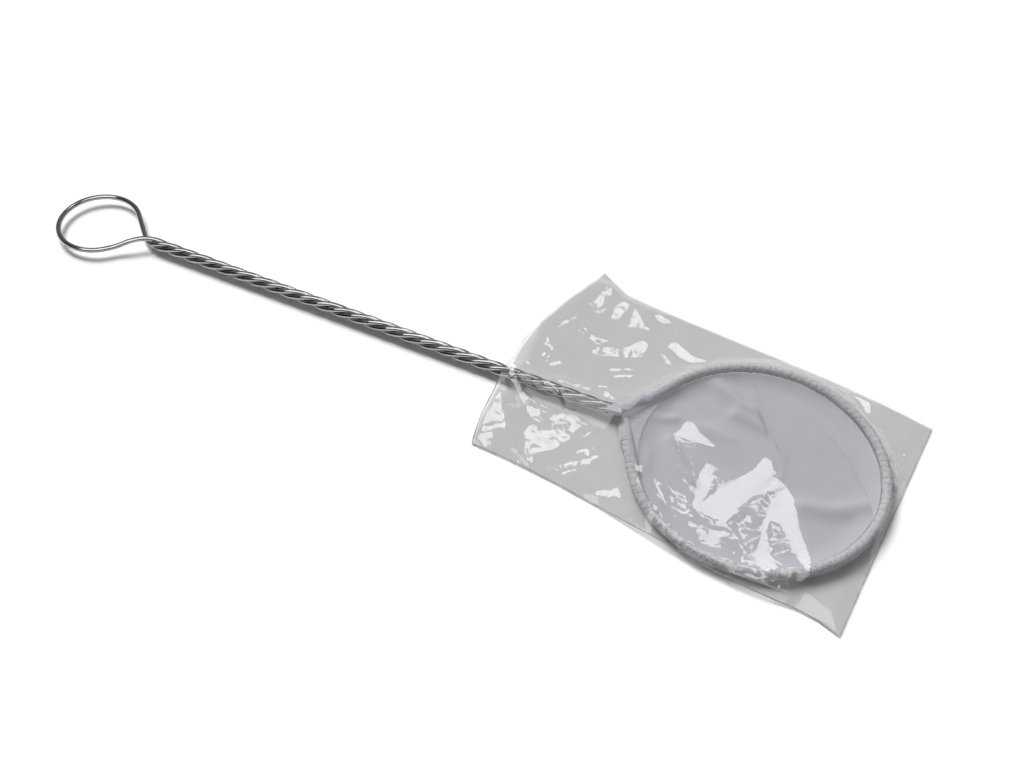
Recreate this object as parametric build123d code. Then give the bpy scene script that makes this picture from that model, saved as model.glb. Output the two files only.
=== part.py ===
from build123d import *
from math import atan, copysign, cos, degrees, pi, radians, sin, sqrt
import os

# An aquarium fish net of twisted wire, lying on a table with its head in a clear film sleeve.
# Millimetres and degrees. The origin is on the table under the middle of the hoop.
# +X points from the handle to the hoop, +Y to the far side and +Z up.

# Wire
wire_diameter = 2.2
strand_gap = 0.12
shaft_length = 216.0
twist_pitch = 32.0
strand_end_gap = 2.0
level_run = 12.0

# Hanging loop, to the wire's centreline
loop_diameter = 34.4
loop_leg_angle = 44.0
loop_neck_bend = 12.0

# Hoop, to the wire's centreline
hoop_diameter = 96.0
hoop_arm_angle = 60.0
hoop_neck_bend = 6.0

# Hem and its stitches
hem_slack = 0.35
hem_wall = 0.65
stitch_thread = 0.4
stitch_spacing = 2.7
stitch_gap = 0.03
stitch_lean = 115.0
stitch_reach = 60.0
stitch_slant = 20.0

# Pouch, its seam and the gusset at the neck
cloth = 0.4
pouch_gap = 0.05
pouch_wall_run = 3.4
seam_width = 1.2
seam_height = 0.5
seam_bow = 70.5
seam_centre_x = -21.7
seam_centre_y = -28.9
seam_margin = 1.0
gusset_gap = 0.15

# Film sleeve
film = 0.2
film_clearance = 0.35
sleeve_turn = 8.5
sleeve_side_clearance = 0.5
sleeve_side_slack = 6.0
sleeve_end_clearance = 0.9
sleeve_mouth_reach = 40.8
sleeve_crown_rise = 2.0

# Worked-out sizes
wire_radius = wire_diameter / 2
strand_offset = (wire_diameter + strand_gap) / sqrt(2)
shaft_radius = strand_offset + wire_radius
hem_bore = wire_radius + hem_slack
hem_radius = hem_bore + hem_wall
hoop_radius = hoop_diameter / 2
loop_radius = loop_diameter / 2
quarter_turns = 2 * round(2 * shaft_length / twist_pitch - 0.5) + 1
true_pitch = 4 * shaft_length / quarter_turns
twist_angle = degrees(atan(2 * pi * strand_offset / true_pitch))
wire_height = film + film_clearance + shaft_radius
up = Vector(0, 0, 1)


def flat_heading(angle):
    """Unit vector in the table's plane, at an angle from +X."""
    return Vector(cos(radians(angle)), sin(radians(angle)), 0)


def double_arc(start, start_heading, end, end_heading):
    """Two arcs that meet smoothly and leave and arrive at the given headings."""
    span = end - start
    both = start_heading + end_heading
    spread = 2 * (1 - start_heading.dot(end_heading))
    along = span.dot(both)
    reach = (sqrt(along**2 + spread * span.dot(span)) - along) / spread
    middle = (start + end + (start_heading - end_heading) * reach) / 2
    middle_heading = end - end_heading * reach - start - start_heading * reach
    first = TangentArc(start, middle, tangent=start_heading)
    second = TangentArc(middle, end, tangent=middle_heading.normalized())
    return [first, second]


def twist_point(quarter, start):
    """Point and heading on a strand's centreline, both places in quarter turns from the loop's crossing."""
    phase = (quarter + start) * pi / 2
    slope = 2 * pi * strand_offset / true_pitch
    point = Vector(quarter * true_pitch / 4, strand_offset * sin(phase), strand_offset * cos(phase))
    heading = Vector(1, slope * cos(phase), -slope * sin(phase))
    return point, heading.normalized()


def strand_path(start, first, last):
    """Left-hand twist from one place to another, two arcs to each quarter turn or part of one."""
    stops = [first] + [quarter for quarter in range(quarter_turns) if first < quarter < last] + [last]
    edges = []
    for begin, finish in zip(stops, stops[1:]):
        edges += double_arc(*twist_point(begin, start), *twist_point(finish, start))
    return edges


def ring_distance(leg_angle, bend_radius, ring_radius):
    """From a crossing of the twist to the centre of the ring that its legs run into."""
    bend = copysign(bend_radius, leg_angle - twist_angle)
    bend_x = bend * (sin(radians(leg_angle)) - sin(radians(twist_angle)))
    bend_y = bend * (cos(radians(twist_angle)) - cos(radians(leg_angle)))
    return bend_x + (ring_radius - cos(radians(leg_angle)) * bend_y) / sin(radians(leg_angle))


def half_ring(leg_angle, bend_radius, ring_radius):
    """One leg and half of its ring, from the crossing at the origin, with the ring's centre on +X.

    The leg starts at the top strand's height, bends to its own angle, comes down to the ring's level
    and runs straight into the ring.
    """
    heading = flat_heading(leg_angle)
    bend = copysign(bend_radius, leg_angle - twist_angle)
    start = up * strand_offset
    bend_end = start + Vector(
        bend * (sin(radians(leg_angle)) - sin(radians(twist_angle))),
        bend * (cos(radians(twist_angle)) - cos(radians(leg_angle))),
        0,
    )
    level_middle = bend_end + heading * (level_run / 2) - up * (strand_offset / 2)
    level_end = bend_end + heading * level_run - up * strand_offset
    chord = (level_middle - bend_end).normalized()
    level_heading = chord * (2 * chord.dot(heading)) - heading
    centre = Vector(ring_distance(leg_angle, bend_radius, ring_radius), 0, 0)
    meet_angle = leg_angle + 90
    meet = centre + flat_heading(meet_angle) * ring_radius
    halfway = centre + flat_heading(meet_angle / 2) * ring_radius
    end = centre + flat_heading(0) * ring_radius
    return [
        TangentArc(start, bend_end, tangent=flat_heading(twist_angle)),
        TangentArc(bend_end, level_middle, tangent=heading),
        TangentArc(level_middle, level_end, tangent=level_heading),
        Line(level_end, meet),
        ThreePointArc(meet, halfway, end),
    ]


def rod(edges, radius):
    """Round bar along a run of edges."""
    path = Wire(edges)
    return sweep((path ^ 0) * Circle(radius), path=path)


# Places along the handle
hoop_distance = ring_distance(hoop_arm_angle, hoop_neck_bend, hoop_radius)
hoop_crossing = Pos(-hoop_distance, 0, wire_height)
loop_crossing = Pos(-hoop_distance - shaft_length, 0, wire_height)
half_turn_over = Rot(X=180)
half_turn_round = Rot(Z=180)
half_turn_both = Rot(Y=180)

# Twisted shaft, four strands: the two ends of the loop's wire and the two ends of the hoop's wire.
# Each wire's ends are cut off just short of the place where the other wire leaves the twist.
parts = {}
cut = 4 * strand_end_gap / true_pitch
loop_strand = strand_path(0, 0, quarter_turns - cut)
hoop_strand = strand_path(1, cut, quarter_turns)
parts["shaft_strand_upper"] = loop_crossing * rod(loop_strand, wire_radius)
parts["shaft_strand_lower"] = loop_crossing * rod(strand_path(2, 0, quarter_turns - cut), wire_radius)
parts["shaft_strand_far"] = loop_crossing * rod(hoop_strand, wire_radius)
parts["shaft_strand_near"] = loop_crossing * rod(strand_path(3, cut, quarter_turns), wire_radius)

# Hanging loop, both legs and the ring in one bend
loop_half = half_ring(loop_leg_angle, loop_neck_bend, loop_radius)
loop_near = [half_turn_round * edge for edge in loop_half]
loop_far = [half_turn_both * edge for edge in loop_half]
parts["hanging_loop"] = loop_crossing * rod(loop_near + loop_far[::-1], wire_radius)

# Hoop arms, the two halves of the hoop's wire, which run into each other at the front
hoop_half = half_ring(hoop_arm_angle, hoop_neck_bend, hoop_radius)
parts["hoop_arm_far"] = hoop_crossing * rod(hoop_half, wire_radius)
parts["hoop_arm_near"] = hoop_crossing * half_turn_over * rod(hoop_half, wire_radius)

# Hem, a cloth tube round the hoop and the lower part of its arms
hem_half = hoop_half[2:]
hem_path = hem_half + [half_turn_over * edge for edge in hem_half][::-1]
parts["hem"] = hoop_crossing * (rod(hem_path, hem_radius) - rod(hem_path, hem_bore))

# Hem stitches, slanted bars of thread over the top and inside of the hem
stitch_ease = sqrt(1 - (sin(radians(stitch_reach)) * sin(radians(stitch_slant))) ** 2)
stitch_bow = (hem_radius + stitch_thread / 2 + stitch_gap) / stitch_ease
stitch_arc = CenterArc((0, 0, 0), stitch_bow, -stitch_reach, 2 * stitch_reach)
stitch = rod([stitch_arc], stitch_thread / 2)
stitch = Pos(hoop_radius, 0, wire_height) * Rot(Y=-stitch_lean) * Rot(X=90 + stitch_slant) * stitch
stitch_end = 90 + hoop_arm_angle
stitch_steps = round(radians(2 * stitch_end) * hoop_radius / stitch_spacing)
stitch_turns = [stitch_end * (2 * step / stitch_steps - 1) for step in range(stitch_steps + 1)]
parts["hem_stitches"] = Compound(children=[Rot(Z=turn) * stitch for turn in stitch_turns])

# Pouch, pressed to a shallow dish that hangs from the hem
pouch_floor = film + film_clearance
pouch_rim = hoop_radius - hem_radius - pouch_gap
pouch_floor_radius = pouch_rim - pouch_wall_run
pouch_outline = Polyline(
    (0, pouch_floor),
    (pouch_floor_radius, pouch_floor),
    (pouch_rim, wire_height),
    (pouch_rim - cloth, wire_height),
    (pouch_floor_radius - cloth, pouch_floor + cloth),
    (0, pouch_floor + cloth),
    close=True,
)
parts["pouch"] = revolve(Plane.XZ * make_face(pouch_outline), Axis.Z)

# Pouch seam, a sewn edge that lies bowed across the pouch's floor
seam_band = Circle(seam_bow + seam_width / 2) - Circle(seam_bow - seam_width / 2)
seam_face = Pos(seam_centre_x, seam_centre_y) * seam_band & Circle(pouch_floor_radius - cloth - seam_margin)
parts["pouch_seam"] = Pos(0, 0, pouch_floor + cloth) * extrude(seam_face, seam_height)

# Neck gusset, a web of cloth between the hem's two ends and the pouch
gusset_radius = hoop_radius - hem_radius - gusset_gap
gusset_tip = (-gusset_radius / sin(radians(hoop_arm_angle)), 0)
gusset_far = flat_heading(90 + hoop_arm_angle) * gusset_radius
gusset_near = Vector(gusset_far.X, -gusset_far.Y)
gusset_web = make_face(Polyline(gusset_tip, gusset_far, gusset_near, close=True))
gusset_face = gusset_web - Circle(pouch_rim + gusset_gap)
parts["neck_gusset"] = Pos(0, 0, wire_height - cloth / 2) * extrude(gusset_face, cloth)

# Film sleeve, a flat-bottomed bag closed at the hoop's end and open towards the handle
hem_reach = hoop_radius + hem_radius
sleeve_side = hem_reach + sleeve_side_clearance
sleeve_edge = sleeve_side + sleeve_side_slack
sleeve_shoulder = wire_height + stitch_bow + stitch_thread / 2 + film_clearance
sleeve_mouth = -hoop_distance - sleeve_mouth_reach
sleeve_end = hem_reach + sleeve_end_clearance
sleeve_place = Rot(Z=-sleeve_turn)


def sleeve_outline(offset):
    """Section across the sleeve above its lower film, grown outward by an offset."""
    near_foot = (-sleeve_side - offset, film)
    near_top = (-sleeve_side - offset, sleeve_shoulder + offset)
    crown = (0, sleeve_shoulder + sleeve_crown_rise + offset)
    far_top = (sleeve_side + offset, sleeve_shoulder + offset)
    far_foot = (sleeve_edge + offset, film)
    roof = ThreePointArc(near_top, crown, far_top)
    walls = [Line(near_foot, near_top), roof, Line(far_top, far_foot), Line(far_foot, near_foot)]
    return make_face(walls)


mouth_plane = Plane.YZ.offset(sleeve_mouth)
end_plane = Plane.YZ.offset(sleeve_end)
roof_section = mouth_plane * (sleeve_outline(film) - sleeve_outline(0))
parts["sleeve_upper_film"] = sleeve_place * extrude(roof_section, sleeve_end - sleeve_mouth)
parts["sleeve_end_panel"] = sleeve_place * extrude(end_plane * sleeve_outline(film), film)
lower_length = sleeve_end + film - sleeve_mouth
lower_width = sleeve_side + sleeve_edge + 2 * film
lower_corner = (Align.MIN, Align.MIN, Align.MIN)
lower_film = Box(lower_length, lower_width, film, align=lower_corner)
parts["sleeve_lower_film"] = sleeve_place * Pos(sleeve_mouth, -sleeve_side - film, 0) * lower_film

os.makedirs("parts", exist_ok=True)
for name, shape in parts.items():
    export_step(shape, f"parts/{name}.step")

strand_length = Wire(hoop_strand).length
loop_wire = 2 * (Wire(loop_strand).length + Wire(loop_half).length)
hoop_wire = 2 * (strand_length + Wire(hoop_half).length)
print(f"loop wire {loop_wire:.0f} mm, hoop wire {hoop_wire:.0f} mm, pitch {true_pitch:.2f} mm, "
      f"{quarter_turns / 4} turns")
print(f"strand volume {parts['shaft_strand_far'].volume:.1f}, section by length "
      f"{pi * wire_radius**2 * strand_length:.1f} mm3")
print(f"sleeve {lower_length:.1f} by {lower_width:.1f} mm")
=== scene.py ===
from math import atan2, cos, pi, radians, sin

import bmesh
import bpy
import numpy as np
from mathutils import Matrix, Vector, noise


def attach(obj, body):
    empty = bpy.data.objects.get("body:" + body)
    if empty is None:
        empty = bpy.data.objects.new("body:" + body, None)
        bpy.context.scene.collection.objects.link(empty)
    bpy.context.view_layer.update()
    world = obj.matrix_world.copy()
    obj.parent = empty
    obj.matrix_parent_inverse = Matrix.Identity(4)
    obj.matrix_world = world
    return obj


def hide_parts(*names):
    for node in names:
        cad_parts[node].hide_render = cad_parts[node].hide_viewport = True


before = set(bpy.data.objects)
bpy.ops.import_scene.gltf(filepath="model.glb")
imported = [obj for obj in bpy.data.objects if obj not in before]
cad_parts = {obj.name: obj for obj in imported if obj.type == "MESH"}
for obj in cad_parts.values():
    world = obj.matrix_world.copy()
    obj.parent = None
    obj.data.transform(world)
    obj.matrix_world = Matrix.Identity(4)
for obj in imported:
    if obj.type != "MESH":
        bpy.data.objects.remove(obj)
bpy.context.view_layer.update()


# Wire frame: two lengths of bright drawn steel wire, one bent round into the hanging loop and one into
# the hoop. Their four ends are twisted together for the shaft.
def new_material(name):
    """A material, with its nodes, its links and its main shader."""
    material = bpy.data.materials.new(name)
    material.use_nodes = True
    nodes = material.node_tree.nodes
    return material, nodes, material.node_tree.links, nodes["Principled BSDF"]


def mottle(nodes, links, scale, low=0, high=1, stretch=(1, 1, 1)):
    """Noise in the object's own space, spread between two values."""
    place = nodes.new("ShaderNodeTexCoord")
    turn = nodes.new("ShaderNodeMapping")
    turn.inputs["Scale"].default_value = stretch
    grain = nodes.new("ShaderNodeTexNoise")
    grain.inputs["Scale"].default_value = scale
    grain.inputs["Detail"].default_value = 4
    spread = nodes.new("ShaderNodeMapRange")
    spread.inputs["From Min"].default_value = 0.3
    spread.inputs["From Max"].default_value = 0.7
    spread.inputs["To Min"].default_value = low
    spread.inputs["To Max"].default_value = high
    links.new(place.outputs["Object"], turn.inputs["Vector"])
    links.new(turn.outputs["Vector"], grain.inputs["Vector"])
    links.new(grain.outputs["Fac"], spread.inputs["Value"])
    return spread.outputs["Result"]


def two_tone(nodes, links, factor, dark, light):
    """Colour between two tones, by a factor from 0 to 1."""
    blend = nodes.new("ShaderNodeMix")
    blend.data_type = "RGBA"
    blend.inputs["A"].default_value = (*dark, 1)
    blend.inputs["B"].default_value = (*light, 1)
    links.new(factor, blend.inputs["Factor"])
    return blend.outputs["Result"]


def dent(nodes, links, height, depth):
    """Bump of a given depth in metres from a height between 0 and 1."""
    bump = nodes.new("ShaderNodeBump")
    bump.inputs["Distance"].default_value = depth
    links.new(height, bump.inputs["Height"])
    return bump.outputs["Normal"]


wire_dull = (0.34, 0.34, 0.34)
wire_clean = (0.44, 0.44, 0.435)
wire_finish, nodes, links, steel = new_material("bright_wire")
steel.inputs["Metallic"].default_value = 1
smears = mottle(nodes, links, scale=220)
links.new(two_tone(nodes, links, smears, wire_dull, wire_clean), steel.inputs["Base Color"])
links.new(mottle(nodes, links, scale=500, low=0.1, high=0.2), steel.inputs["Roughness"])
draw_marks = mottle(nodes, links, scale=2500, stretch=(0.04, 1, 1))
links.new(dent(nodes, links, draw_marks, depth=0.000004), steel.inputs["Normal"])

strand_nodes = ["shaft_strand_upper", "shaft_strand_lower", "shaft_strand_near", "shaft_strand_far"]
for name in ["hanging_loop", *strand_nodes, "hoop_arm_near", "hoop_arm_far"]:
    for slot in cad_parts[name].material_slots:
        slot.material = wire_finish


# Hem: a strip of the pouch's cloth turned round the hoop wire and sewn to itself. It follows the
# hoop and the straight part of both arms, and the thread pulls it into small puckers.
def finished(name, bm, material, body):
    """The mesh becomes a smooth-shaded piece that rides a body, with the given material."""
    mesh = bpy.data.meshes.new(name)
    bm.to_mesh(mesh)
    bm.free()
    mesh.polygons.foreach_set("use_smooth", [True] * len(mesh.polygons))
    mesh.materials.append(material)
    piece = bpy.data.objects.new(name, mesh)
    bpy.context.collection.objects.link(piece)
    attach(piece, body)
    return piece


def standing_tube(segments, radius, steps):
    """Tube that stands on end and is one unit long for each of its steps, ready to be bent to a line."""
    bm = bmesh.new()
    ring = bmesh.ops.create_circle(bm, segments=segments, radius=radius)["verts"]
    edges = list({edge for vert in ring for edge in vert.link_edges})
    for _ in range(steps):
        grown = bmesh.ops.extrude_edge_only(bm, edges=edges)["geom"]
        verts = {item for item in grown if isinstance(item, bmesh.types.BMVert)}
        edges = [item for item in grown if isinstance(item, bmesh.types.BMEdge) and set(item.verts) <= verts]
        bmesh.ops.translate(bm, verts=list(verts), vec=(0, 0, 1))
    return bm


hoop_radius = 0.048
hoop_height = 0.00329
arm_angle = radians(60)
arm_meet = pi / 2 + arm_angle
arm_level = 0.0126
arm_run = 0.012
arm_shift = 0.00164
hem_radius = 0.00205
hem_end = 0.0193
hem_half = arm_meet * hoop_radius + hem_end
hem_rings = 640
stitch_pitch = 0.0027
hand_stray = 0.0008
tight_share = 0.16
tight_middle = 0.065
tight_half = 0.05


def hem_line(distance):
    """Point and outward heading on the hem's middle, a distance along it from the hoop's front."""
    side = 1 if distance > 0 else -1
    along = abs(distance)
    turn = min(along / hoop_radius, arm_meet)
    outward = Vector((cos(turn), side * sin(turn), 0))
    point = outward * hoop_radius + Vector((0, 0, hoop_height))
    past = along - arm_meet * hoop_radius
    if past > 0:
        point += Vector((-sin(turn), side * cos(turn), 0)) * past
        climb = min(max((past - arm_level) / arm_run, 0), 1)
        point.z += side * arm_shift * climb * climb * (3 - 2 * climb)
    return point, outward


def hem_reach(distance):
    """Radius of the hem, which is drawn tighter round the far side of the hoop."""
    return hem_radius * (1 - tight_share * np.exp(-(((distance - tight_middle) / tight_half) ** 4)))


def stitch_slip(point):
    """How far the sewer's hand strayed from even stitches at a place on the hem."""
    return noise.noise(point * 170) * hand_stray + noise.noise(point * 60) * hand_stray


cloth_sink = 0.00016
pucker_depth = 0.0003
taper_share = 0.14
taper_length = 0.008
bm = standing_tube(18, hem_radius, hem_rings)
for vert in bm.verts:
    distance = (round(vert.co.z) / hem_rings * 2 - 1) * hem_half
    point, outward = hem_line(distance)
    round_way = Vector((vert.co.x, vert.co.y)) / hem_radius
    turn = atan2(round_way.y, round_way.x)
    at = point + outward * (round_way.x * hem_radius) + Vector((0, 0, round_way.y * hem_radius))
    slack = abs(sin(pi * (distance + stitch_slip(point)) / stitch_pitch - turn / 2))
    pucker = pucker_depth * slack + noise.noise(at * 900) * 0.00016 + noise.noise(at * 350) * 0.00014
    taper = 1 - taper_share * min(max((abs(distance) - hem_half + taper_length) / taper_length, 0), 1)
    reach = (hem_reach(distance) - cloth_sink + pucker) * taper
    vert.co = point + outward * (round_way.x * reach) + Vector((0, 0, round_way.y * reach))
bmesh.ops.recalc_face_normals(bm, faces=bm.faces)

hem_shaded = (0.46, 0.46, 0.485)
hem_white = (0.78, 0.78, 0.81)
hem_cloth, nodes, links, cloth = new_material("hem_cloth")
weave = mottle(nodes, links, scale=1400)
links.new(two_tone(nodes, links, weave, hem_shaded, hem_white), cloth.inputs["Base Color"])
cloth.inputs["Roughness"].default_value = 0.85
cloth.inputs["Sheen Weight"].default_value = 0.2
links.new(dent(nodes, links, weave, depth=0.0001), cloth.inputs["Normal"])
hem = finished("hem_cloth_tube", bm, hem_cloth, "net")
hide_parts("hem")

# Hem stitches: one white polyester thread whipped round the hem by hand, a turn for every 2.7 mm or so,
# and drawn tight so that the cloth puckers up between the turns.
thread_radius = 0.00016
thread_steps = 12
thread_sink = 0.00003
thread_end = 0.003
thread_half = hem_half - thread_end
thread_count = round(2 * thread_half / stitch_pitch * thread_steps)
thread_path = bpy.data.curves.new("hem_thread", "CURVE")
thread_path.dimensions = "3D"
thread_path.bevel_depth = thread_radius
thread_path.bevel_resolution = 1
thread_path.use_fill_caps = True
spline = thread_path.splines.new("POLY")
spline.points.add(thread_count)
for step in range(thread_count + 1):
    even = (2 * step / thread_count - 1) * thread_half
    distance = even - stitch_slip(hem_line(even)[0])
    point, outward = hem_line(distance)
    turn = 2 * pi * even / stitch_pitch
    reach = hem_reach(distance) - thread_sink + 0.00005 * noise.noise(point * 900)
    at = point + outward * (cos(turn) * reach) + Vector((0, 0, sin(turn) * reach))
    spline.points[step].co = (*at, 1)
thread_curve = bpy.data.objects.new("hem_thread_line", thread_path)
bpy.context.collection.objects.link(thread_curve)
bpy.context.view_layer.update()
bm = bmesh.new()
bm.from_mesh(thread_curve.to_mesh())
bpy.data.objects.remove(thread_curve)

thread_grey = (0.62, 0.62, 0.65)
thread_white = (0.86, 0.86, 0.88)
thread_finish, nodes, links, thread = new_material("polyester_thread")
fibres = mottle(nodes, links, scale=3000)
links.new(two_tone(nodes, links, fibres, thread_grey, thread_white), thread.inputs["Base Color"])
thread.inputs["Roughness"].default_value = 0.5
thread.inputs["Sheen Weight"].default_value = 0.3
links.new(dent(nodes, links, fibres, depth=0.00005), thread.inputs["Normal"])
stitches = finished("hem_thread", bm, thread_finish, "net")
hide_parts("hem_stitches")


# Pouch: the bag of fine white polyester mesh. Pressed flat in its sleeve, its lower layer lies on the
# film inside the hoop, turned up to the hem all round and rumpled into a few soft folds.
def distance_to(line, x, y):
    """Distance from points to a run of straight lines, in the same units."""
    nearest = np.full(np.shape(x), np.inf)
    for (ax, ay), (bx, by) in zip(line, line[1:]):
        run = (bx - ax) ** 2 + (by - ay) ** 2
        along = np.clip(((x - ax) * (bx - ax) + (y - ay) * (by - ay)) / run, 0, 1)
        nearest = np.minimum(nearest, np.hypot(x - ax - along * (bx - ax), y - ay - along * (by - ay)))
    return nearest


# Each fold is its crest in millimetres, its height and its half width.
pouch_folds = [
    ([(-26.2, 32.6), (-14.6, 25.6), (-3.5, 24.0)], 3.0, 3.2),
    ([(-15.0, 20.8), (-2.5, 18.6)], 1.7, 2.7),
    ([(-34.4, -2.4), (-26.2, -12), (-19.8, -17)], 1.9, 2.1),
    ([(-47.2, 3.6), (-36.3, 8.5)], 1.2, 1.7),
    ([(-40, -10), (-38, -22), (-26, -33)], 0.9, 2.5),
    ([(-22, 8), (-8, 2), (2, -6)], 1.0, 5.0),
    ([(-36, 15), (-26, 9), (-14, 8)], 0.8, 3.0),
]
# The left edge of the bag's other side, from its far end to its near end. It presses these folds flat.
fold_left = [
    (-14.9, 42.0), (-10, 32), (-4, 22.7), (1, 16), (6.5, 10), (9, 2), (6, -10), (-2, -24), (-12, -38),
]
fold_left_x, fold_left_y = zip(*fold_left)
press_width = 3
pouch_rim = 0.0457
pouch_flat = 0.0385
pouch_floor = 0.0008
rim_height = hoop_height - 0.0006
rim_curl = 1.6


def pouch_height(x, y):
    """Height of the pouch's lower layer, in metres."""
    rim = np.clip((np.hypot(x, y) - pouch_flat) / (pouch_rim - pouch_flat), 0, 1)
    lift = pouch_floor + (rim_height - pouch_floor) * rim**rim_curl
    pressed_at = np.interp(y * 1000, fold_left_y[::-1], fold_left_x[::-1])
    loose = np.clip((pressed_at - x * 1000) / press_width, 0, 1)
    for crest, rise, width in pouch_folds:
        away = distance_to(crest, x * 1000, y * 1000) / width
        lift = lift + rise / 1000 * np.exp(-(away**2)) * (1 - rim) * loose
    return lift


spoke_steps = 56
spoke_count = 168
ripple_height = 0.00025
bm = bmesh.new()
spoke = [bm.verts.new((pouch_rim * step / spoke_steps, 0, 0)) for step in range(spoke_steps + 1)]
spoke_edges = [bm.edges.new(pair) for pair in zip(spoke, spoke[1:])]
bmesh.ops.spin(
    bm, geom=spoke + spoke_edges, cent=(0, 0, 0), axis=(0, 0, 1), angle=2 * pi, steps=spoke_count,
    use_merge=True,
)
bmesh.ops.remove_doubles(bm, verts=bm.verts, dist=1e-6)
for vert in bm.verts:
    ripple = noise.noise(vert.co * 110) * ripple_height
    vert.co.z = float(pouch_height(vert.co.x, vert.co.y)) + ripple
bmesh.ops.recalc_face_normals(bm, faces=bm.faces)

mesh_gap = (0.63, 0.63, 0.69)
mesh_yarn = (0.76, 0.76, 0.83)
yarn_scale = 560
pouch_mesh, nodes, links, cloth = new_material("pouch_mesh")
place = nodes.new("ShaderNodeTexCoord")
yarns = []
for turn in (radians(12), radians(102)):
    lay = nodes.new("ShaderNodeMapping")
    lay.inputs["Rotation"].default_value = (0, 0, turn)
    yarn = nodes.new("ShaderNodeTexWave")
    yarn.inputs["Scale"].default_value = yarn_scale
    yarn.inputs["Distortion"].default_value = 0.6
    links.new(place.outputs["Object"], lay.inputs["Vector"])
    links.new(lay.outputs["Vector"], yarn.inputs["Vector"])
    yarns.append(yarn.outputs["Fac"])
weave = nodes.new("ShaderNodeMath")
weave.operation = "MAXIMUM"
links.new(yarns[0], weave.inputs[0])
links.new(yarns[1], weave.inputs[1])
links.new(two_tone(nodes, links, weave.outputs["Value"], mesh_gap, mesh_yarn), cloth.inputs["Base Color"])
cloth.inputs["Alpha"].default_value = 0.72
cloth.inputs["Roughness"].default_value = 0.9
cloth.inputs["Sheen Weight"].default_value = 0.15
links.new(dent(nodes, links, weave.outputs["Value"], depth=0.00008), cloth.inputs["Normal"])
pouch = finished("pouch_lower_layer", bm, pouch_mesh, "net")
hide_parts("pouch")

# Pouch fold: the bag's other side, folded over on the lower layer. Its left edge is a loose fold and
# its right edge follows the bag's sewn bottom seam. One soft crease runs across it to the seam.
seam_centre = (-0.0217, -0.0289)
seam_bow = 0.0705
fold_start_degrees = 82
fold_sweep_degrees = 96
fold_columns, fold_rows = 60, 90
fold_way = np.linspace(0, 1, len(fold_left))
fold_reach = 0.0454
fold_gap = 0.00025
fold_crest = [(21, -10), (31.6, -7.8), (40.9, -0.4)]
crest_rise = 0.002
crest_width = 3.6
edge_rise = 0.0004
edge_width = 0.06
fold_ripple = 0.00022
bm = bmesh.new()
bmesh.ops.create_grid(bm, x_segments=fold_columns, y_segments=fold_rows, size=0.5)
for vert in bm.verts:
    across = vert.co.x + 0.5
    down = vert.co.y + 0.5
    left_x = np.interp(down, fold_way, fold_left_x) / 1000
    left_y = np.interp(down, fold_way, fold_left_y) / 1000
    turn = radians(fold_start_degrees - fold_sweep_degrees * down)
    right = Vector((seam_centre[0] + seam_bow * cos(turn), seam_centre[1] + seam_bow * sin(turn)))
    flat = Vector((left_x, left_y)).lerp(right, across)
    if flat.length > fold_reach:
        flat *= fold_reach / flat.length
    lift = float(pouch_height(flat.x, flat.y)) + fold_gap
    from_crest = distance_to(fold_crest, flat.x * 1000, flat.y * 1000)
    lift += crest_rise * np.exp(-((from_crest / crest_width) ** 2))
    lift += edge_rise * np.exp(-((across / edge_width) ** 2))
    vert.co = Vector((flat.x, flat.y, lift + noise.noise(flat.to_3d() * 130) * fold_ripple))
bmesh.ops.recalc_face_normals(bm, faces=bm.faces)
pouch_fold = finished("pouch_upper_layer", bm, pouch_mesh, "net")

# Pouch seam: the sewn bottom edge of the bag, a narrow seam rolled from both layers and sewn through.
# It lies bowed across the pouch and thins out where it meets the hem at the far side.
seam_radius = 0.0006
seam_flatness = 0.4
seam_fade = 0.35
seam_lift = 0.0004
seam_sink = 0.0002
start_turn = radians(18.5)
seam_turn = radians(49)
bm = bmesh.new()
roll = bmesh.ops.create_circle(bm, segments=10, radius=seam_radius)["verts"]
place = (
    Matrix.Translation((*seam_centre, 0))
    @ Matrix.Rotation(start_turn, 4, "Z")
    @ Matrix.Translation((seam_bow, 0, 0))
    @ Matrix.Rotation(pi / 2, 4, "X")
)
bmesh.ops.transform(bm, matrix=place, verts=roll)
roll_edges = list({edge for vert in roll for edge in vert.link_edges})
bmesh.ops.spin(
    bm, geom=roll + roll_edges, cent=(*seam_centre, 0), axis=(0, 0, 1), angle=seam_turn, steps=150
)
for vert in bm.verts:
    turned = (atan2(vert.co.y - seam_centre[1], vert.co.x - seam_centre[0]) - start_turn) / seam_turn
    full = min(1, (1 - turned) / seam_fade)
    lift = float(pouch_height(vert.co.x, vert.co.y)) + seam_lift * full - seam_sink
    vert.co.z = vert.co.z * seam_flatness * full + lift + noise.noise(vert.co * 900) * 0.00008
bmesh.ops.recalc_face_normals(bm, faces=bm.faces)
seam = finished("pouch_seam_roll", bm, pouch_mesh, "net")
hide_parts("pouch_seam")

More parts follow.
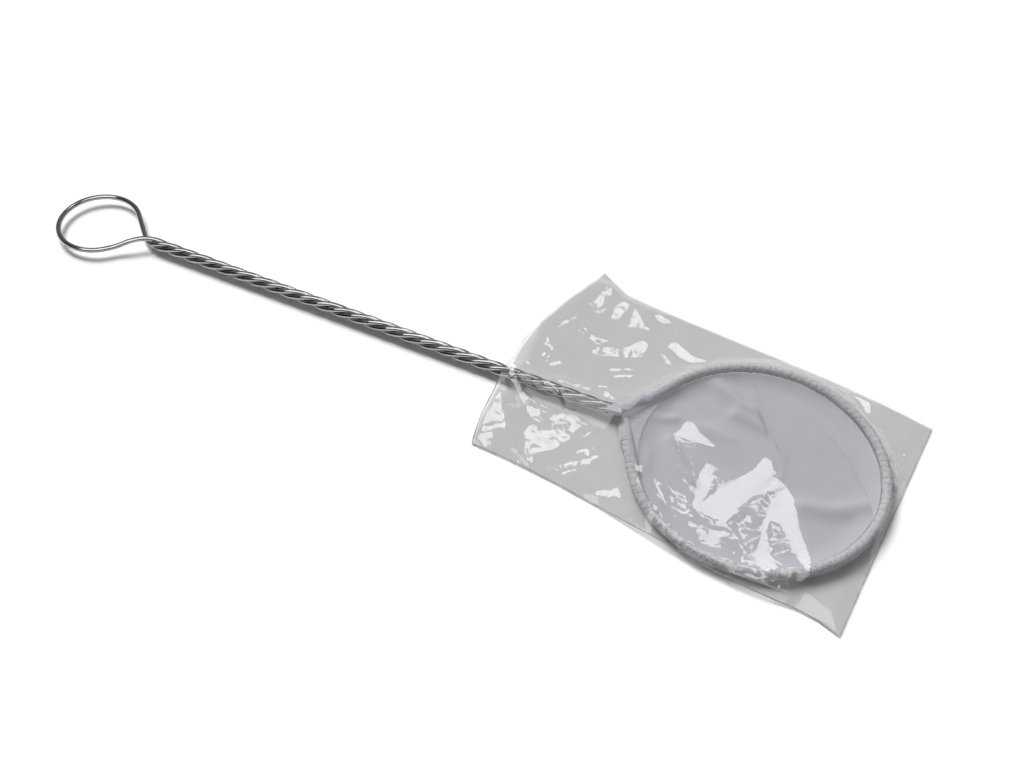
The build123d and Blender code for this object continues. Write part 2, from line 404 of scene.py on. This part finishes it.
# Neck cloth: the end of the hem strip, gathered over the crossing of the two arms, sewn round the first
# part of each and tucked down into the V between them. It ends on the pouch's rim.
neck_start = -0.0606
neck_fan = 0.55
neck_tip = -0.05543
neck_wrap = 0.0027
neck_rim = pouch_rim - 0.0003
neck_top = hoop_height + 0.0031
wrap_end = 0.0105
wrap_fade = 0.003
tuck_length = 0.18
tuck_depth = 0.0012
fray = 0.0016
cover_share = 0.9
cover_run = 0.004
rim_draw = 0.0012
climb_start = 0.0027
sink_run = 0.003
web_drop = 0.0005
web_rise = 0.0016
web_run = 0.003
cloth_pull = 0.0004
hang_drop = 0.0006
gather_depth = 0.0005
bm = bmesh.new()
bmesh.ops.create_grid(bm, x_segments=60, y_segments=84, size=0.5)
for vert in bm.verts:
    along = vert.co.x + 0.5
    fan = pi - vert.co.y * 2 * neck_fan
    x = neck_start + (neck_rim * cos(fan) - neck_start) * along
    x += fray * (1 - along) ** 8 * noise.noise(Vector((0, vert.co.y * 9, 0.7)))
    # The cloth spreads with the arms, and past them only where it is sewn round them.
    open_half = max(0, (x - neck_tip) * np.tan(arm_angle))
    wrapped = min(max((wrap_end - open_half) / wrap_fade, 0), 1)
    cover = neck_wrap * (1 + cover_share * min(1, open_half / cover_run))
    past_arm = cover * wrapped - rim_draw * (1 - wrapped)
    y = vert.co.y * 2 * (open_half + past_arm)
    y += (neck_rim * sin(fan) - y) * along**4
    # It lies over the wire, which climbs at the far side and sinks at the near side.
    over = (abs(y) - open_half) * (cos(arm_angle) if open_half > 0.0005 else 1)
    climb = min(max((open_half - climb_start) / sin(arm_angle) / arm_run, 0), 1)
    rise = arm_shift * (1 - climb * climb * (3 - 2 * climb))
    rise = rise if y > 0 or open_half < 0.001 else -rise * min(1, open_half / sink_run)
    wrap = np.sqrt(max(0, 1 - (over / neck_wrap) ** 2))
    web = hoop_height - web_drop + web_rise * np.exp(-open_half / web_run)
    over_wire = hoop_height + rise + (neck_wrap - cloth_pull) * wrap - hang_drop * (wrap == 0)
    top = max(over_wire, web if over < 0 else 0)
    top = min(top, neck_top) - tuck_depth * max(0, 1 - along / tuck_length) ** 2
    gather = abs(noise.noise(Vector((x * 260, y * 700, 0.3)))) * gather_depth
    gather += noise.noise(Vector((x, y, 0)) * 240) * 0.0001
    vert.co = Vector((x, y, top + gather))
bmesh.ops.recalc_face_normals(bm, faces=bm.faces)
neck = finished("neck_cloth", bm, pouch_mesh, "net")
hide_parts("neck_gusset")


# Sleeve, lower film: the table side of a bag of clear polypropylene film, laid flat under the net. Its
# four edges are followed as they lie, the mouth bowed out and both long sides a little wavy.
def film_edge(points, count):
    """Evenly spaced points along one edge of the sleeve, in metres."""
    points = np.array(points) / 1000
    reach = np.append(0, np.cumsum(np.hypot(*np.diff(points, axis=0).T)))
    at = np.linspace(0, reach[-1], count + 1)
    return np.stack([np.interp(at, reach, points[:, axis]) for axis in (0, 1)], axis=1)


film_columns, film_rows = 320, 224
near_edge = film_edge(
    [(-95.6, -50.8), (-80, -49.4), (-60, -48.7), (-40, -49), (-20, -50), (0, -51.2), (20, -50.2), (38, -47.2),
     (46, -47.2), (54.5, -48.9)], film_columns)
far_edge = film_edge(
    [(-100.3, 58), (-93, 55), (-86, 52.3), (-76, 52.2), (-56.4, 53.1), (-25.9, 55.1), (1.6, 57), (26.3, 57.5),
     (48.5, 56.4)], film_columns)
mouth_edge = film_edge(
    [(-95.6, -50.8), (-98, -44), (-100, -37.5), (-103, -21.5), (-104.5, -10), (-106.8, 2.4), (-107.8, 18.5),
     (-105, 37), (-100.3, 58)], film_rows)
end_edge = film_edge([(54.5, -48.9), (51.5, 2), (48.5, 56.4)], film_rows)

# The film's plan, along the sleeve and across it, is stretched evenly between those edges.
along_way = np.linspace(0, 1, film_columns + 1)[:, None, None]
across_way = np.linspace(0, 1, film_rows + 1)[None, :, None]
mouth_corners = (1 - across_way) * near_edge[0] + across_way * far_edge[0]
end_corners = (1 - across_way) * near_edge[-1] + across_way * far_edge[-1]
corners = (1 - along_way) * mouth_corners + along_way * end_corners
film_plan = (1 - across_way) * near_edge[:, None] + across_way * far_edge[:, None]
film_plan = film_plan + (1 - along_way) * mouth_edge + along_way * end_edge - corners
film_u, film_v = film_plan[..., 0], film_plan[..., 1]
sleeve_turn = radians(8.5)
film_x = film_u * cos(sleeve_turn) + film_v * sin(sleeve_turn)
film_y = film_v * cos(sleeve_turn) - film_u * sin(sleeve_turn)


def film_sheet(heights):
    """Grid of film over the sleeve's plan, at the given heights."""
    bm = bmesh.new()
    bmesh.ops.create_grid(bm, x_segments=film_columns, y_segments=film_rows, size=0.5)
    for vert in bm.verts:
        column = round((vert.co.x + 0.5) * film_columns)
        row = round((vert.co.y + 0.5) * film_rows)
        vert.co = (film_x[column, row], film_y[column, row], heights[column, row])
    bmesh.ops.recalc_face_normals(bm, faces=bm.faces)
    return bm


film_clear = (0.25, 0.25, 0.245)
film_hazy = (0.31, 0.31, 0.305)
clear_film, nodes, links, film = new_material("clear_film")
haze = mottle(nodes, links, scale=60)
links.new(two_tone(nodes, links, haze, film_clear, film_hazy), film.inputs["Base Color"])
film.inputs["Alpha"].default_value = 0.27
film.inputs["IOR"].default_value = 2.8
links.new(mottle(nodes, links, scale=300, low=0.07, high=0.13), film.inputs["Roughness"])
film_creep = mottle(nodes, links, scale=90)
links.new(dent(nodes, links, film_creep, depth=0.00006), film.inputs["Normal"])

# It lies all but flat, and only its near edge is lifted a little beside the hoop.
lift_line = 0.0505
lift_width = 0.003
lift_reach = 0.032
lift_height = 0.0016
film_wave = 0.00005
film_floor = 0.0001
near_lift = np.exp(-(((film_v + lift_line) / lift_width) ** 2)) * np.exp(-((film_u / lift_reach) ** 4))
lie = film_floor + film_wave * np.sin(film_x * 140) * np.sin(film_y * 110) + lift_height * near_lift
sleeve_lower = finished("sleeve_lower_sheet", film_sheet(lie), clear_film, "sleeve")
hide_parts("sleeve_lower_film")


# Sleeve, upper film: the same film over the net. It is held up by the hoop, the neck and the shaft,
# comes down to the lower film along both sides and keeps the creases it was handled into.
def inside(outline, x, y):
    """True where a point lies inside a closed outline."""
    hit = np.zeros(x.shape, bool)
    for (ax, ay), (bx, by) in zip(outline, outline[1:] + outline[:1]):
        if ay != by:
            hit ^= ((ay > y) != (by > y)) & (x < ax + (y - ay) * (bx - ax) / (by - ay))
    return hit


# Facets pressed into the film, as outlines along and across the sleeve in millimetres.
film_facets = [
    [(-99.5, -25.6), (-93.4, -31.5), (-88.2, -38.5), (-92.1, -38.8), (-92.6, -42.3), (-88.9, -45.5),
     (-81.9, -46.2), (-76.1, -47.7), (-74.7, -49.8), (-82.4, -52.0), (-90.1, -52.6), (-94.6, -52.5),
     (-95.3, -45.8), (-97.6, -37.6), (-98.8, -31.0)],
    [(-94.2, 35.6), (-93.7, 47.6), (-90.9, 48.0), (-90.6, 35.2)],
    [(-85.2, 37.6), (-83.6, 44.6), (-80.6, 44.0), (-81.2, 34.8)],
    [(-81.1, -37.0), (-80.6, -31.9), (-77.9, -33.3), (-70.5, -27.4), (-65.5, -22.4), (-66.1, -27.6),
     (-68.8, -31.1), (-77.2, -36.4), (-79.2, -39.0)],
    [(-78.2, -40.5), (-77.5, -37.8), (-65.7, -29.1), (-68.6, -36.3), (-72.7, -43.4), (-73.4, -46.6)],
    [(-79.0, -27.7), (-76.8, -23.3), (-71.7, -19.4), (-66.3, -18.1), (-63.9, -18.1), (-68.1, -21.4),
     (-73.4, -23.8)],
    [(-78.3, 44.2), (-75.8, 34.5), (-69.8, 37.7), (-61.8, 34.9), (-72.7, 40.5)],
    [(-80.9, 14.6), (-79.8, 17.7), (-72.7, 20.8), (-66.1, 30.8), (-64.0, 28.6), (-63.2, 23.3), (-67.2, 20.1),
     (-79.8, 13.2)],
    [(-66.6, -4.7), (-64.2, -3.1), (-59.5, -5.3), (-59.7, -7.1), (-63.5, -6.4)],
    [(-69.7, -2.6), (-64.9, 0.3), (-64.6, -1.2), (-68.3, -3.4)],
    [(-69.6, 46.0), (-67.9, 48.2), (-62.1, 46.9), (-64.5, 44.6)],
    [(-56.8, 33.8), (-54.6, 36.3), (-45.7, 34.0), (-38.7, 36.0), (-44.3, 31.3), (-50.5, 31.1)],
    [(18.4, 52.5), (23.4, 52.2), (27.2, 45.1), (24.0, 46.6)],
    [(-46.5, -46.8), (-38.5, -38.0), (-35.3, -41.5)],
    [(-10.5, -34.1), (-7.5, -25.8), (-2.3, -13.6), (1.6, -6.6), (1.6, -1.1), (4.4, -1.4), (7.8, -6.8),
     (13.6, -8.2), (10.0, -12.3), (4.9, -18.4), (3.0, -26.0), (2.0, -31.9), (3.6, -36.8), (0.5, -36.9),
     (-1.4, -33.1), (-6.7, -33.6)],
    [(11.7, -15.9), (14.0, -9.0), (17.6, -10.8), (21.7, -16.4), (26.1, -22.6), (29.6, -26.3), (33.5, -30.6),
     (36.4, -36.4), (32.1, -33.5), (27.1, -30.0), (22.9, -25.8), (18.6, -23.2), (14.8, -24.2), (14.3, -26.6)],
    [(12.9, -24.4), (14.8, -24.2), (16.1, -29.4), (19.8, -34.9), (25.8, -39.6), (33.7, -45.3), (29.2, -46.9),
     (22.2, -47.9), (11.1, -50.1), (15.4, -43.3), (16.9, -36.9), (15.2, -30.0)],
    [(-31.9, -9.9), (-30.5, -5.5), (-30.8, -1.7), (-27.6, -1.2), (-23.7, -3.8), (-19.9, -4.6), (-16.8, -5.9),
     (-16.8, -7.5), (-20.3, -7.1), (-25.5, -8.4)],
    [(-18.4, -6.9), (-16.3, -7.2), (-12.9, -13.2), (-10.3, -20.2), (-8.9, -27.8), (-10.2, -33.9),
     (-13.5, -26.7), (-15.3, -19.3), (-15.4, -12.7)],
    [(-4.6, -42.4), (-1.5, -42.3), (0.9, -36.2), (4.6, -37.2), (3.4, -41.0), (6.1, -43.2), (2.0, -44.5),
     (-1.5, -45.4)],
]
# Narrow creases, each a width and the line that it follows, in the same way.
film_creases = [
    (2.4, [(-101.6, -13.7), (-97.9, -19.0), (-90.0, -23.8), (-82.1, -28.3), (-78.7, -28.3)]),
    (1.1, [(-70.7, -49.3), (-65.0, -43.9), (-57.0, -36.3), (-49.5, -31.7), (-44.5, -32.2), (-40.8, -33.5)]),
    (1.0, [(-63.4, -48.5), (-55.9, -39.2)]),
    (1.0, [(-71.7, -23.3), (-70.1, -27.9)]),
    (1.0, [(-68.7, -21.2), (-67.3, -27.6)]),
    (1.3, [(-59.4, -32.4), (-58.3, -30.7)]),
    (1.3, [(-57.6, -29.8), (-56.0, -31.5)]),
    (1.2, [(-54.6, -33.3), (-52.8, -30.2)]),
    (1.5, [(-89.0, 35.8), (-93.8, 30.4)]),
    (1.2, [(-94.3, 30.2), (-97.0, 23.6), (-99.8, 17.4)]),
    (1.3, [(-90.9, 22.2), (-86.6, 20.5), (-80.3, 19.2)]),
    (1.4, [(-98.8, 8.0), (-92.9, -1.4)]),
    (1.0, [(-91.0, -8.5), (-92.1, -5.3), (-91.2, -2.0), (-88.0, 1.1)]),
    (1.2, [(-69.9, 9.3), (-61.8, 15.1)]),
    (1.0, [(-66.8, 7.3), (-59.9, 12.7)]),
    (1.2, [(-98.8, -7.5), (-95.5, -9.6)]),
    (1.4, [(-82.0, -9.8), (-77.3, -8.3), (-70.9, -6.4)]),
    (0.9, [(-86.0, -15.1), (-83.1, -13.1), (-78.3, -14.9), (-73.5, -19.1), (-70.9, -16.9)]),
    (1.0, [(-56.9, 27.7), (-45.6, 23.6)]),
    (0.8, [(15.8, 52.3), (20.6, 50.3), (28.1, 43.5), (30.5, 54.8)]),
    (0.9, [(44.0, 37.4), (49.1, 40.2)]),
    (0.9, [(-28.2, -30.9), (-24.1, -34.3), (-20.0, -37.7)]),
    (0.9, [(-37.4, -29.0), (-35.8, -30.4)]),
    (0.8, [(-34.1, -33.9), (-32.2, -35.3), (-30.0, -37.3)]),
    (0.9, [(-35.3, -29.0), (-34.2, -30.1)]),
    (0.8, [(-24.5, -40.4), (-21.7, -41.9)]),
    (0.8, [(-19.1, -34.7), (-17.7, -36.1)]),
    (0.9, [(-16.0, -33.2), (-13.0, -35.6)]),
    (0.8, [(-14.3, -37.5), (-12.4, -37.6), (-10.9, -35.5)]),
]
creased = np.zeros(film_u.shape, bool)
for outline in film_facets:
    creased |= inside(outline, film_u * 1000, film_v * 1000)
for width, line in film_creases:
    creased |= distance_to(line, film_u * 1000, film_v * 1000) < width / 2


# The film as it falls from the hoop, the arms and the shaft to the lower film, before it is creased.
def tent(line, top, fall):
    """Height of film that falls away evenly on both sides of what holds it up."""
    return top - fall * distance_to(line, film_x, film_y)


film_length = 0.155
film_step = film_length / film_columns
film_gap = 0.0003
hoop_top = 0.0061
hoop_fall = 0.62
shaft_top = 0.0069
shaft_fall = 0.5
shaft_mouth = (-0.13, 0)
neck_point = (-0.0572, 0)
puff_height = 0.0022
puff_slope = 0.3
edge_slope = 2.2
off_hoop = np.hypot(film_x, film_y) - hoop_radius
spread = np.minimum(hoop_top, hoop_top - hoop_fall * off_hoop)
spread = np.maximum(spread, tent([shaft_mouth, neck_point], shaft_top, shaft_fall))
for side in (1, -1):
    arm_end = (-sin(arm_angle) * hoop_radius, side * cos(arm_angle) * hoop_radius)
    spread = np.maximum(spread, tent([neck_point, arm_end], hoop_top, hoop_fall))
other_arm_end = (arm_end[0], -arm_end[1])
spread = np.where(inside([neck_point, arm_end, other_arm_end], film_x, film_y), hoop_top, spread)
column = np.arange(film_columns + 1)[:, None]
row = np.arange(film_rows + 1)[None, :]
from_edge = np.minimum(np.minimum(row, film_rows - row), film_columns - column) * film_step
spread = np.maximum(spread, np.minimum(puff_height, lie + film_gap + puff_slope * from_edge))
spread = np.minimum(spread, lie + film_gap + edge_slope * from_edge)
for _ in range(5):
    wide = np.pad(spread, 1, mode="edge")
    spread = (wide[2:, 1:-1] + wide[:-2, 1:-1] + wide[1:-1, 2:] + wide[1:-1, :-2] + 2 * spread) / 6

# It is rumpled where it hangs free between the hoop or the shaft and the lower film.
flank_low = 0.0026
flank_high = 0.0059
flank_fade = 0.001
rumple_height = 0.0007
flank = np.clip((spread - flank_low) / flank_fade, 0, 1) * np.clip((flank_high - spread) / flank_fade, 0, 1)
rumple = np.array([noise.noise((x * 210, y * 210, 0)) for x, y in zip(film_x.flat, film_y.flat)])
spread = spread + rumple_height * flank * rumple.reshape(film_x.shape)

# What the film can't sink below: the hem, the shaft, the pouch and the lower film.
hem_clear = 0.0026
shaft_clear = 0.0034
pouch_clear = 0.0005
lowest_in_hoop = 0.0034
over_hem = np.sqrt(np.clip(hem_clear**2 - off_hoop**2, 0, None)) + hoop_height
under = np.where(np.abs(off_hoop) < hem_clear, over_hem, 0)
under = np.where(np.abs(np.arctan2(film_y, film_x)) < arm_meet, under, 0)
from_shaft = distance_to([shaft_mouth, (-0.05, 0)], film_x, film_y)
over_shaft = hoop_height + np.sqrt(np.clip(shaft_clear**2 - from_shaft**2, 0, None))
under = np.maximum(under, np.where(from_shaft < shaft_clear, over_shaft, 0))
over_pouch = np.maximum(lowest_in_hoop, pouch_height(film_x, film_y) + pouch_clear)
under = np.maximum(under, np.where(off_hoop < 0, over_pouch, lie + film_gap))


def relaxed(tilt_u, tilt_v, lowest):
    """Heights whose slopes come nearest to the given ones, flat at three edges and free at the mouth.

    They are found on a coarse grid first and then on finer ones.
    """
    rise = np.zeros_like(lowest[::16, ::16])
    for stride in (16, 8, 4, 2, 1):
        along = film_step * stride
        bend_u = np.gradient(tilt_u[::stride, ::stride], axis=0)
        bend_v = np.gradient(tilt_v[::stride, ::stride], axis=1)
        bend = bend_u + bend_v
        low = lowest[::stride, ::stride][1:-1, 1:-1]
        if stride < 16:
            rise = np.repeat(np.repeat(rise, 2, axis=0), 2, axis=1)
            rise = (rise[:-1, :-1] + rise[1:, :-1] + rise[:-1, 1:] + rise[1:, 1:]) / 4
        for _ in range(120):
            rise[-1] = 0
            rise[:, 0] = 0
            rise[:, -1] = 0
            rise[0] = rise[1]
            mean = (rise[2:, 1:-1] + rise[:-2, 1:-1] + rise[1:-1, 2:] + rise[1:-1, :-2]) / 4
            rise[1:-1, 1:-1] = np.maximum(mean - bend[1:-1, 1:-1] * along / 4, low)
    return rise


# A facet leans to mirror the lamp, by its place on the sleeve. The film between the facets is turned
# step by step until it leans otherwise, and the facets until they lie as they should.
lean_far = 0.13
lean_growth_u = 1.6
lean_growth_v = 1.2
lean_apart_u = 0.09
lean_apart_v = 0.06
most_over_lean = 0.35
hold_gain = 0.2
slope_kept = 0.85
turn_gain = 6
fall_u, fall_v = np.gradient(spread, film_step)
lean_u = lean_growth_u * film_u - fall_u
lean_v = lean_far + lean_growth_v * film_v - fall_v
tilt_u = np.where(creased, lean_u, 0)
tilt_v = np.where(creased, lean_v, 0)
for _ in range(60):
    pressed = relaxed(tilt_u, tilt_v, under - spread)
    slope_u, slope_v = np.gradient(pressed, film_step)
    off_u, off_v = slope_u - lean_u, slope_v - lean_v
    short_u, short_v = lean_apart_u - np.abs(off_u), lean_apart_v - np.abs(off_v)
    too_near = ~creased & (short_u > 0) & (short_v > 0)
    turn_u = np.where(too_near & (short_u < short_v), np.sign(off_u) * short_u, 0)
    turn_v = np.where(too_near & (short_u >= short_v), np.sign(off_v) * short_v, 0)
    hold_u = np.clip(tilt_u - hold_gain * off_u, lean_u - most_over_lean, lean_u + most_over_lean)
    hold_v = np.clip(tilt_v - hold_gain * off_v, lean_v - most_over_lean, lean_v + most_over_lean)
    tilt_u = np.where(creased, hold_u, slope_kept * slope_u + turn_gain * turn_u)
    tilt_v = np.where(creased, hold_v, slope_kept * slope_v + turn_gain * turn_v)
film_height = np.maximum(spread + pressed, lie + film_gap)

# Fine crumples, most of them round the mouth and along the near side, where the sleeve was handled.
crumple_depth = 0.00036
crumple = np.array([
    abs(noise.noise((x * 130, y * 130, 3.1))) + 0.5 * abs(noise.noise((x * 270, y * 270, 7.7)))
    for x, y in zip(film_x.flat, film_y.flat)
]).reshape(film_x.shape)
handled = np.maximum(np.clip((-film_u - 0.05) / 0.015, 0, 1), np.clip((-film_v - 0.036) / 0.008, 0, 1))
film_height += crumple_depth * (0.2 + 0.8 * handled) * (crumple - crumple.mean())
film_height = np.maximum(film_height, np.maximum(under, lie + film_gap))

# The far half of the mouth clings to the lower film.
clinging_columns = 16
clinging_share = 0.85
held_down = np.clip((film_v - 0.004) / 0.012, 0, 1) * np.clip(1 - column / clinging_columns, 0, 1) ** 2
film_height -= (film_height - lie - film_gap) * clinging_share * held_down
sleeve_upper = finished("sleeve_upper_sheet", film_sheet(film_height), clear_film, "sleeve")
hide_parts("sleeve_upper_film")


# Sleeve, folded edges: the film doubled back on itself along the near side and round the near corner of
# # the mouth. Seen edge on, so many layers of it are no longer clear. Its dark grey is partly painted shadow,
# # standing in for the shadow under the lifted near edge.
def edge_bead(line, radius):
    """Round bead along a line of points, a little uneven."""
    bm = standing_tube(8, radius, len(line) - 1)
    for vert in bm.verts:
        at = round(vert.co.z)
        ahead = Vector(line[min(at + 1, len(line) - 1)]) - Vector(line[max(at - 1, 0)])
        aside = Vector((-ahead.y, ahead.x, 0)).normalized()
        bead = 1 + 0.5 * noise.noise(Vector(line[at]) * 160)
        vert.co = Vector(line[at]) + aside * (vert.co.x * bead) + Vector((0, 0, vert.co.y * bead))
    bmesh.ops.recalc_face_normals(bm, faces=bm.faces)
    return bm


# Dark tones of the bead: partly the doubled film, partly painted shadow of the lifted near edge.
shadow_and_layer_dark = (0.16, 0.16, 0.16)
shadow_and_layer_light = (0.42, 0.42, 0.42)
fold_and_painted_shadow_finish, nodes, links, film = new_material("doubled_film")
layers = mottle(nodes, links, scale=400, stretch=(0.2, 1, 1))
links.new(two_tone(nodes, links, layers, shadow_and_layer_dark, shadow_and_layer_light), film.inputs["Base Color"])
film.inputs["Alpha"].default_value = 0.8
film.inputs["Roughness"].default_value = 0.2
folded_rows = 62
fold_radius = 0.00017
fold_line = [(film_x[0, at], film_y[0, at], film_height[0, at]) for at in range(folded_rows, 0, -1)]
fold_line += [(film_x[at, 0], film_y[at, 0], film_height[at, 0]) for at in range(film_columns)]
film_fold = finished("sleeve_folded_edge", edge_bead(fold_line, fold_radius), fold_and_painted_shadow_finish, "sleeve")

# Sleeve, end seal: the bead along the closed end, where a hot wire cut the film and melted its two
# layers together.
seal_radius = 0.00022
seal_height = 0.00033
seal_line = [(film_x[-1, at], film_y[-1, at], seal_height) for at in range(film_rows + 1)]
end_seal = finished("sleeve_end_seal", edge_bead(seal_line, seal_radius), clear_film, "sleeve")
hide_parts("sleeve_end_panel")

# Table: a wide matt white board that the sleeve lies on, just under its lower film. Seen straight on, or
# mirrored in the wire and the film, it glows a little, so that it is white up to the net's shadow.
table_half = 30.0
table_drop = 0.0002
table_glow = 0.05
bm = bmesh.new()
bmesh.ops.create_grid(bm, x_segments=1, y_segments=1, size=table_half)
table_mesh = bpy.data.meshes.new("table")
bm.to_mesh(table_mesh)
bm.free()
table = bpy.data.objects.new("table", table_mesh)
table.location.z = -table_drop
bpy.context.collection.objects.link(table)
table_finish, nodes, links, paint = new_material("white_table")
paint.inputs["Base Color"].default_value = (0.96, 0.96, 0.96, 1)
paint.inputs["Roughness"].default_value = 1
paint.inputs["Specular IOR Level"].default_value = 0
paint.inputs["Emission Color"].default_value = (1, 1, 1, 1)
seen = nodes.new("ShaderNodeLightPath")
seen_or_mirrored = nodes.new("ShaderNodeMath")
seen_or_mirrored.operation = "MAXIMUM"
links.new(seen.outputs["Is Camera Ray"], seen_or_mirrored.inputs[0])
links.new(seen.outputs["Is Glossy Ray"], seen_or_mirrored.inputs[1])
any_seen = nodes.new("ShaderNodeMath")
any_seen.operation = "MAXIMUM"
links.new(seen_or_mirrored.outputs["Value"], any_seen.inputs[0])
links.new(seen.outputs["Is Transmission Ray"], any_seen.inputs[1])
glow = nodes.new("ShaderNodeMath")
glow.operation = "MULTIPLY"
glow.inputs[1].default_value = table_glow
links.new(any_seen.outputs["Value"], glow.inputs[0])
links.new(glow.outputs["Value"], paint.inputs["Emission Strength"])
table_mesh.materials.append(table_finish)

# Room: dim walls, lighter overhead and towards the far side, which is what the wire and the film mirror.
# Past the table's edge the camera itself sees plain white.
room_dark = 0.03
room_light = 0.27
lightest_way = (-0.05, 0.6, 0.8)
world = bpy.data.worlds.new("studio")
bpy.context.scene.world = world
world.use_nodes = True
nodes = world.node_tree.nodes
links = world.node_tree.links
way = nodes.new("ShaderNodeTexCoord")
above = nodes.new("ShaderNodeVectorMath")
above.operation = "DOT_PRODUCT"
above.inputs[1].default_value = lightest_way
links.new(way.outputs["Generated"], above.inputs[0])
level = nodes.new("ShaderNodeMapRange")
level.inputs["From Min"].default_value = 0.25
level.inputs["From Max"].default_value = 0.95
level.inputs["To Min"].default_value = room_dark
level.inputs["To Max"].default_value = room_light
links.new(above.outputs["Value"], level.inputs["Value"])
seen = nodes.new("ShaderNodeLightPath")
backdrop = nodes.new("ShaderNodeMath")
backdrop.operation = "MAXIMUM"
links.new(level.outputs["Result"], backdrop.inputs[0])
links.new(seen.outputs["Is Camera Ray"], backdrop.inputs[1])
nodes["Background"].inputs["Color"].default_value = (1, 1, 1, 1)
links.new(backdrop.outputs["Value"], nodes["Background"].inputs["Strength"])

# Key lamp: a small soft box high over the far side of the net. The facets of the film lean so that they
# mirror it to the camera as white patches, and the film between them doesn't.
key_radiance = 5.5
key = bpy.data.lights.new("key", "AREA")
key.shape = "RECTANGLE"
key.size = 0.30
key.size_y = 0.24
key.energy = key_radiance * pi * key.size * key.size_y
key_lamp = bpy.data.objects.new("key", key)
key_lamp.location = (-0.0733, 0.4631, 1.1046)
key_lamp.rotation_euler = (-key_lamp.location).to_track_quat("-Z", "Y").to_euler()
bpy.context.collection.objects.link(key_lamp)

# Window: broad daylight from the far left, which gives most of the light and the soft shadow along the
# near side of the shaft. It isn't mirrored in the wire or the film.
window_way = Vector((0.58, -0.36, -0.73))
window_light = 0.87
window = bpy.data.lights.new("window", "SUN")
window.angle = radians(30)
window.energy = window_light * pi / -window_way.z
window_lamp = bpy.data.objects.new("window", window)
window_lamp.visible_glossy = False
window_lamp.rotation_euler = window_way.to_track_quat("-Z", "Y").to_euler()
bpy.context.collection.objects.link(window_lamp)

# Screen: a white card hung over the table on the camera's side. It is there only to be mirrored, as the
# bright line along the top of each strand of wire.
screen_radiance = 2.4
screen = bpy.data.lights.new("screen", "AREA")
screen.shape = "RECTANGLE"
screen.size = 1.28
screen.size_y = 1.0
screen.energy = screen_radiance * pi * screen.size * screen.size_y
screen_lamp = bpy.data.objects.new("screen", screen)
screen_lamp.location = (-0.14, -0.525, 1.0)
screen_lamp.visible_diffuse = False
screen_lamp.visible_transmission = False
bpy.context.collection.objects.link(screen_lamp)

# Camera: it stands where the photograph was taken from, near the net's head and looking down on it from
# the near side, with the handle running off to the left.
camera_data = bpy.data.cameras.new("camera")
camera_data.lens = 43.08
camera_data.sensor_width = 36
camera_data.sensor_fit = "HORIZONTAL"
camera_place = (0.018998, -0.293653, 0.370750)
camera_right = Vector((0.9096584, 0.41414281, 0.03173851))
camera_up = Vector((-0.33458359, 0.68533831, 0.64681158))
camera_back = Vector((0.24612075, -0.59899677, 0.76198914))
camera_turn = Matrix((camera_right, camera_up, camera_back)).transposed().to_4x4()
camera = bpy.data.objects.new("camera", camera_data)
camera.matrix_world = Matrix.Translation(camera_place) @ camera_turn
bpy.context.collection.objects.link(camera)
bpy.context.scene.camera = camera
bpy.context.scene.view_settings.view_transform = "Standard"
